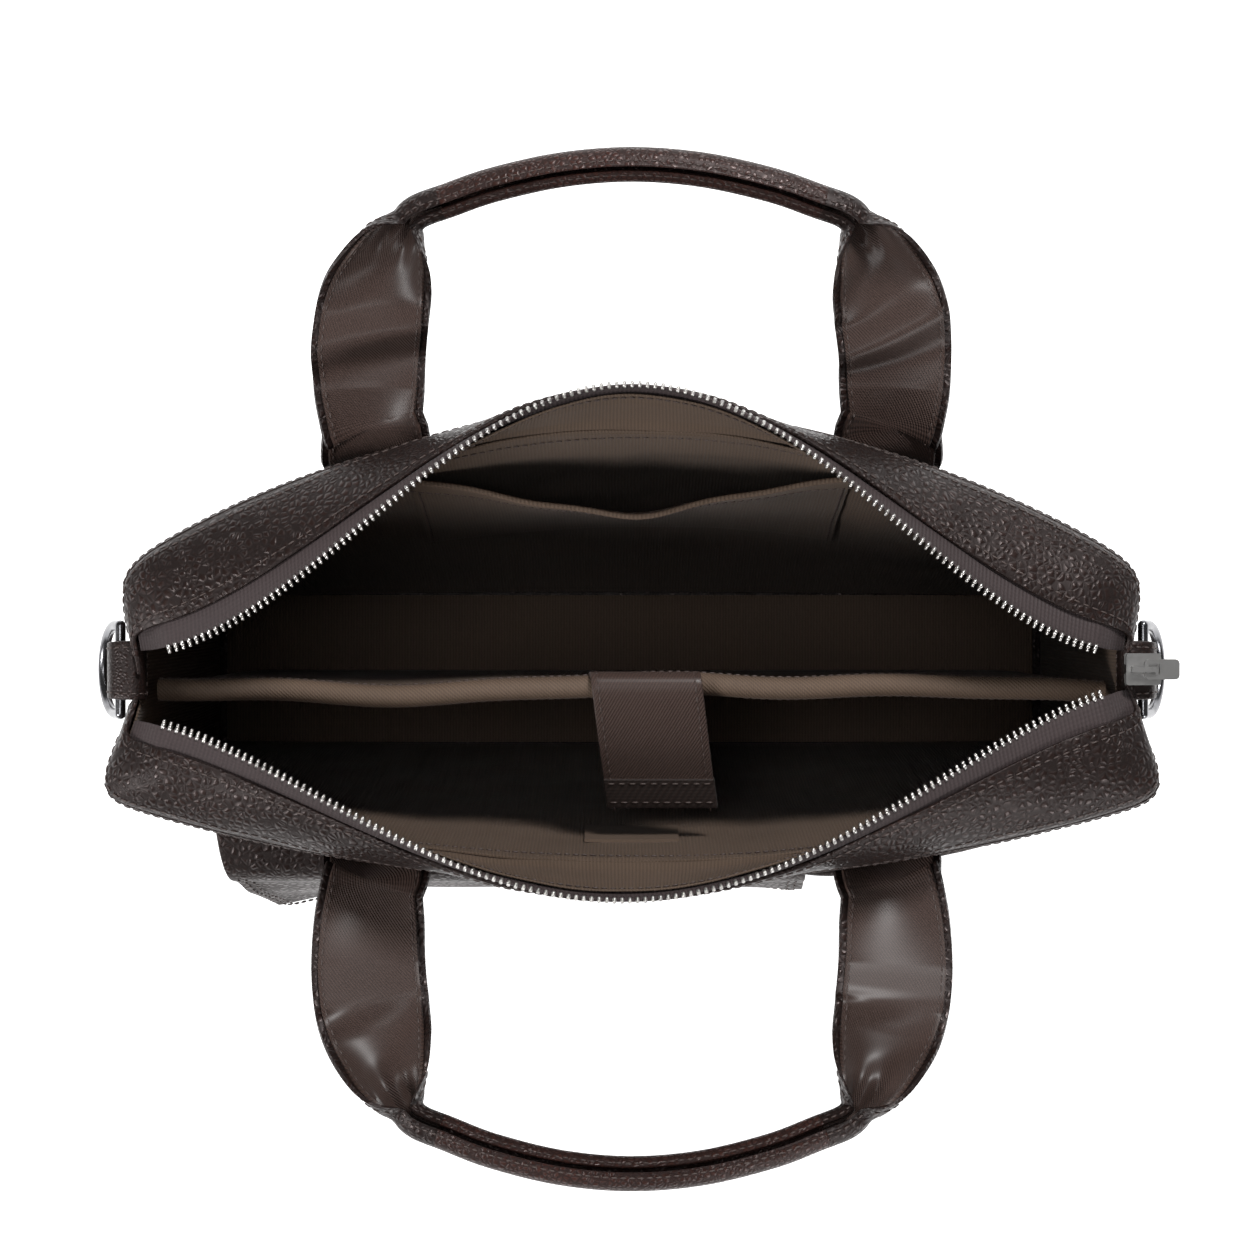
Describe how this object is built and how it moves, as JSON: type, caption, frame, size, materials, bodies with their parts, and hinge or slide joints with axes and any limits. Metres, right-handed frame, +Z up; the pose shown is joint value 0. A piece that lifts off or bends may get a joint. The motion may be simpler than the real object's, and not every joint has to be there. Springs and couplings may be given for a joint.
{
  "type": "leather briefcase",
  "caption": "Zip-top leather laptop briefcase with two rolled carrying handles, D-rings, a padded divider with a hold-down strap, an inner pocket and a flapped front pocket.",
  "frame": {"origin": "centre of the whole object's box, at the flat underside that the bag stands on", "axes": "+Z up, +X along the bag to the wearer's right, +Y towards the back wall"},
  "size_m": [0.383, 0.3584, 0.2882],
  "materials": {
    "leather": "pebbled, semi-gloss",
    "lining": "fine woven",
    "webbing": "twill webbing",
    "zip_tape": "woven tape",
    "binding": "folded binding",
    "foam": "padding",
    "board": "stiff board",
    "hook_and_loop": "hook and loop pile",
    "zip_metal": "bright nickel",
    "ring_metal": "polished gunmetal",
    "snap_metal": "plated"
  },
  "bodies": {
    "shell": {"back_foam": "foam", "back_lining": "lining", "back_panel": "leather", "back_strap_anchors": "leather", "back_top_gusset": "leather", "back_top_lining": "lining", "back_zip_tape": "zip_tape", "back_zip_teeth": "zip_metal", "base_board": "board", "bottom_lining": "lining", "bottom_panel": "leather", "divider_back_cover": "lining", "divider_binding": "binding", "divider_foam": "foam", "divider_front_cover": "lining", "front_foam": "foam", "front_lining": "lining", "front_panel": "leather", "front_pocket_binding": "leather", "front_pocket_lining": "lining", "front_pocket_panel": "leather", "front_strap_anchors": "leather", "front_top_gusset": "leather", "front_top_lining": "lining", "front_zip_tape": "zip_tape", "front_zip_teeth": "zip_metal", "inner_pocket": "lining", "inner_pocket_binding": "binding", "left_dring_tab": "leather", "left_gusset": "leather", "left_lining": "lining", "left_zip_end": "leather", "right_dring_tab": "leather", "right_gusset": "leather", "right_lining": "lining", "right_zip_end": "leather", "snap_plate": "snap_metal", "strap_loop_patch": "hook_and_loop"},
    "front_handle": {"front_grip_core": "foam", "front_grip_cover": "leather", "front_left_strap": "leather", "front_left_webbing": "webbing", "front_right_strap": "leather", "front_right_webbing": "webbing"},
    "back_handle": {"back_grip_core": "foam", "back_grip_cover": "leather", "back_left_strap": "leather", "back_left_webbing": "webbing", "back_right_strap": "leather", "back_right_webbing": "webbing"},
    "left_ring": {"left_dring": "ring_metal"},
    "right_ring": {"right_dring": "ring_metal"},
    "zip_slider_body": {"zip_slider": "zip_metal"},
    "zip_pull_body": {"zip_pull": "zip_metal"},
    "laptop_strap_body": {"laptop_strap": "webbing", "strap_hook_patch": "hook_and_loop"},
    "flap": {"pocket_flap": "leather", "flap_lining": "lining", "snap_magnet": "snap_metal"}
  },
  "joints": [
    {"name": "back_handle_swing", "type": "hinge", "parent": "shell", "child": "back_handle", "pos_m": [0, 0.088, 0.24], "axis": [1, 0, 0], "range_deg": [-85, 68]},
    {"name": "front_handle_swing", "type": "hinge", "parent": "shell", "child": "front_handle", "pos_m": [0, -0.0715, 0.24], "axis": [-1, 0, 0], "range_deg": [-75, 68]},
    {"name": "left_ring_swing", "type": "hinge", "parent": "shell", "child": "left_ring", "pos_m": [-0.1805, 0.003, 0.238], "axis": [0, 1, 0], "range_deg": [-20, 125]},
    {"name": "right_ring_swing", "type": "hinge", "parent": "shell", "child": "right_ring", "pos_m": [0.1805, 0.003, 0.238], "axis": [0, -1, 0], "range_deg": [-20, 125]},
    {"name": "zip_slide", "type": "slide", "parent": "shell", "child": "zip_slider_body", "axis": [-1, 0, 0], "range_m": [0, 0.006]},
    {"name": "zip_pull_flip", "type": "hinge", "parent": "zip_slider_body", "child": "zip_pull_body", "pos_m": [0.1778, 0.0035, 0.262], "axis": [0, -1, 0], "range_deg": [0, 110]},
    {"name": "laptop_strap_lift", "type": "hinge", "parent": "shell", "child": "laptop_strap_body", "pos_m": [0, 0.0006, 0.2395], "axis": [-1, 0, 0], "range_deg": [0, 150]},
    {"name": "flap_lift", "type": "hinge", "parent": "shell", "child": "flap", "pos_m": [0, -0.0684, 0.222], "axis": [-1, 0, 0], "range_deg": [0, 85]}
  ]
}
